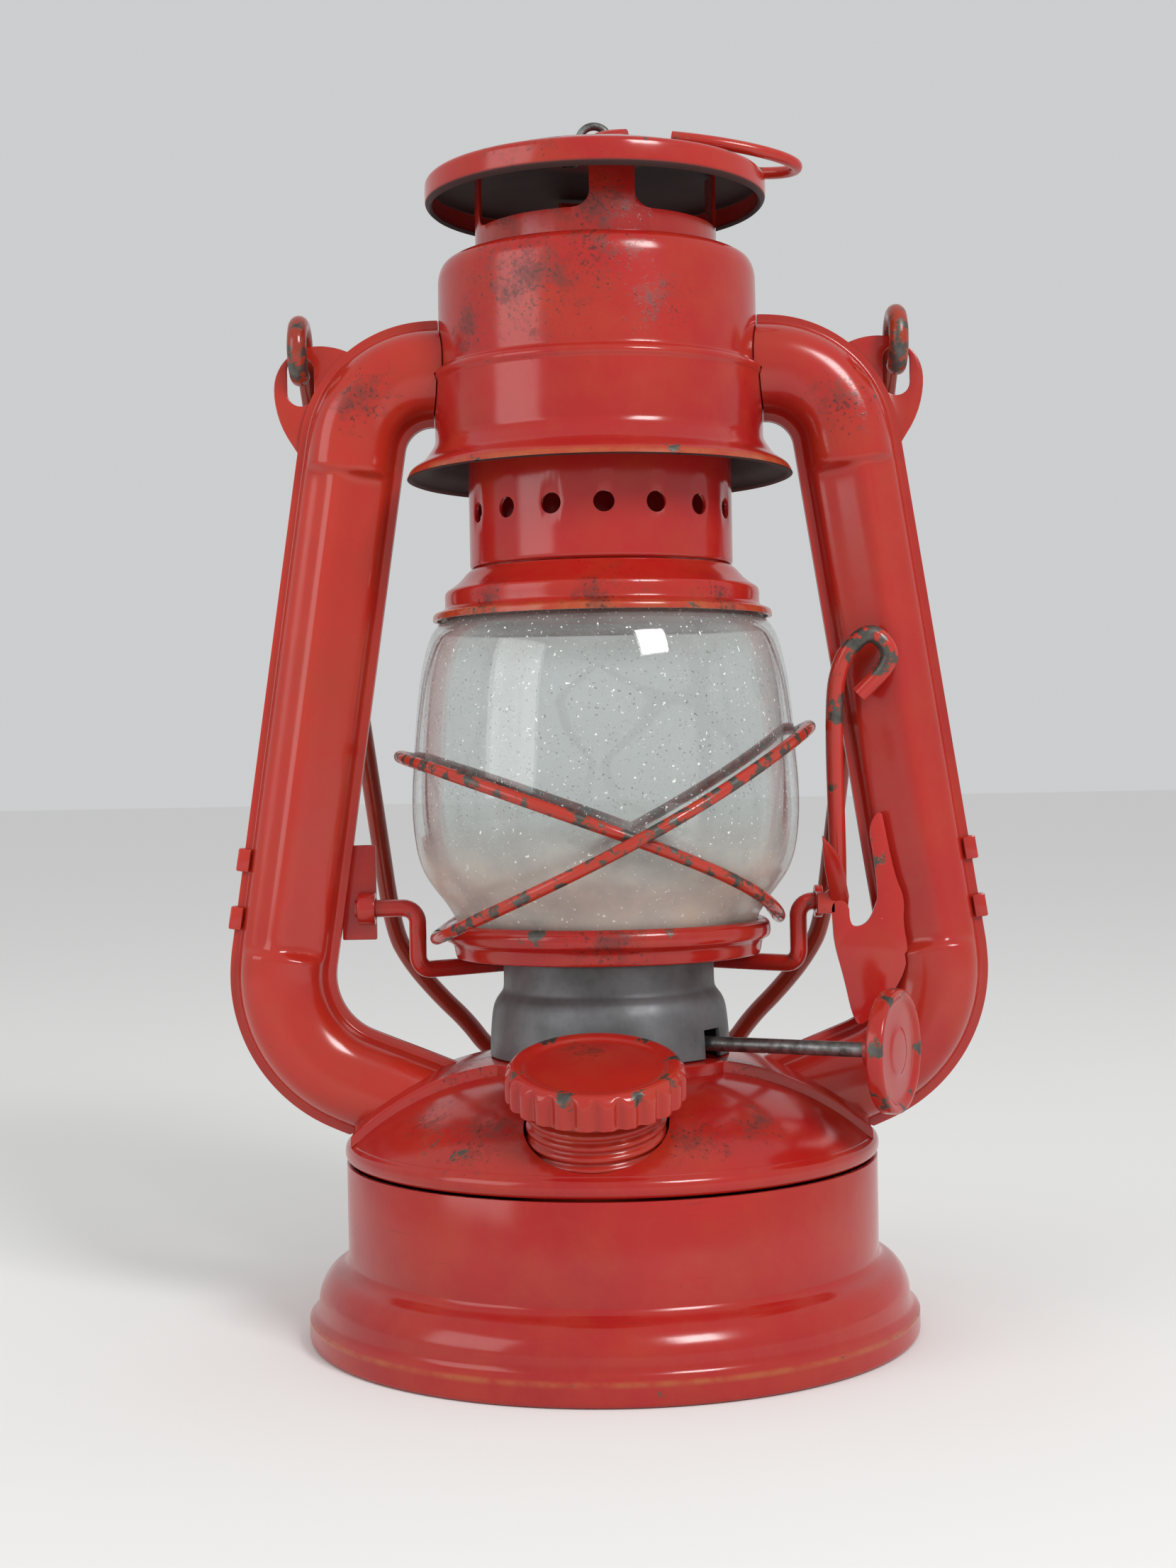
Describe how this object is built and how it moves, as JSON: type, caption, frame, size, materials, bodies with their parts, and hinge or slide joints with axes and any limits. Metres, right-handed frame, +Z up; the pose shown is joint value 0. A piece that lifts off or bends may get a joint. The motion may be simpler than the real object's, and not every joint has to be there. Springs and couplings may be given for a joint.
{
  "type": "oil lantern",
  "caption": "Hurricane oil lantern with side air tubes, glass globe raised by a bent wire crank, lifting chimney, flat wick burner, screw filler cap and swinging bail.",
  "frame": {"origin": "centre of the foot's standing ring, on the ground plane", "axes": "+Z up along the lantern's axis, -Y the front where the filler cap is, +X to the lever's side"},
  "size_m": [0.1314, 0.105, 0.2083],
  "materials": {
    "enamel": "gloss enamel, chipped and grimed",
    "worn_enamel": "satin enamel, worn through at edges",
    "galvanised": "dull grey plated steel",
    "steel": "bare steel with light rust",
    "brass": "dull brass",
    "glass": "clear pressed glass, dusty",
    "cork": "matte cork",
    "cotton": "woven cotton"
  },
  "bodies": {
    "lantern": {"fount_drum": "enamel", "fount_bottom": "worn_enamel", "fount_dome": "enamel", "filler_collar": "worn_enamel", "air_gallery": "enamel", "burner_collar": "brass", "burner_base": "brass", "burner_housing": "galvanised", "wick_tube": "brass", "left_tube_front": "enamel", "left_tube_rear": "enamel", "right_tube_front": "enamel", "right_tube_rear": "enamel", "canopy": "enamel", "lever_bracket": "enamel", "pivot_bracket": "enamel"},
    "globe_carriage": {"globe_plate": "enamel", "globe": "glass", "burner_cone": "brass", "guard_wire_outer": "enamel", "guard_wire_inner": "enamel"},
    "crank": {"lift_crank": "enamel"},
    "chimney": {"chimney_tube": "enamel", "chimney_crown": "enamel", "hood_collar": "enamel", "hood_cap": "enamel", "ring_staple": "steel"},
    "ring": {"lift_ring": "enamel"},
    "carrying_bail": {"bail": "enamel"},
    "wick_drive": {"wick_shaft": "steel", "wick_wheel_left": "steel", "wick_wheel_right": "steel", "wick_knob": "enamel"},
    "wick_tape": {"wick": "cotton"},
    "filler_washer": {"filler_gasket": "cork"},
    "filler_cap": {"filler_cap_head": "enamel", "filler_cap_sleeve": "worn_enamel"}
  },
  "joints": [
    {"name": "globe_lift", "type": "slide", "parent": "lantern", "child": "globe_carriage", "axis": [0, 0, 1], "range_m": [0, 0.0114]},
    {"name": "lever_press", "type": "hinge", "parent": "lantern", "child": "crank", "pos_m": [0, 0, 0.073], "axis": [1, 0, 0], "range_deg": [0, 30.2]},
    {"name": "chimney_lift", "type": "slide", "parent": "globe_carriage", "child": "chimney", "axis": [0, 0, 1], "range_m": [0, 0.014]},
    {"name": "ring_swing", "type": "hinge", "parent": "chimney", "child": "ring", "pos_m": [0.0004, 0, 0.205], "axis": [0, -1, 0], "range_deg": [0, 163]},
    {"name": "bail_swing", "type": "hinge", "parent": "lantern", "child": "carrying_bail", "pos_m": [0, 0.00065, 0.1698], "axis": [1, 0, 0], "range_deg": [0, 270]},
    {"name": "wick_turn", "type": "hinge", "parent": "lantern", "child": "wick_drive", "pos_m": [-0.00101, -0.00207, 0.0499], "axis": [0.8988, -0.4384, 0], "range_deg": [-90, 120]},
    {"name": "wick_raise", "type": "slide", "parent": "lantern", "child": "wick_tape", "axis": [0, 0, 1], "range_m": [-0.0045, 0.006]},
    {"name": "filler_rise", "type": "slide", "parent": "lantern", "child": "filler_washer", "axis": [0, -0.2588, 0.9659], "range_m": [-0.00237, 0.006]},
    {"name": "filler_turn", "type": "hinge", "parent": "filler_washer", "child": "filler_cap", "pos_m": [-0.0024, -0.0338, 0.0395], "axis": [0, -0.2588, 0.9659], "range_deg": [-453, 1141]}
  ],
  "couplings": [
    {"joint": "lever_press", "follows": "globe_lift", "rad_per_m": 45.93},
    {"joint": "wick_raise", "follows": "wick_turn", "m_per_rad": 0.0027},
    {"joint": "filler_turn", "follows": "filler_rise", "rad_per_m": 3306.9}
  ]
}
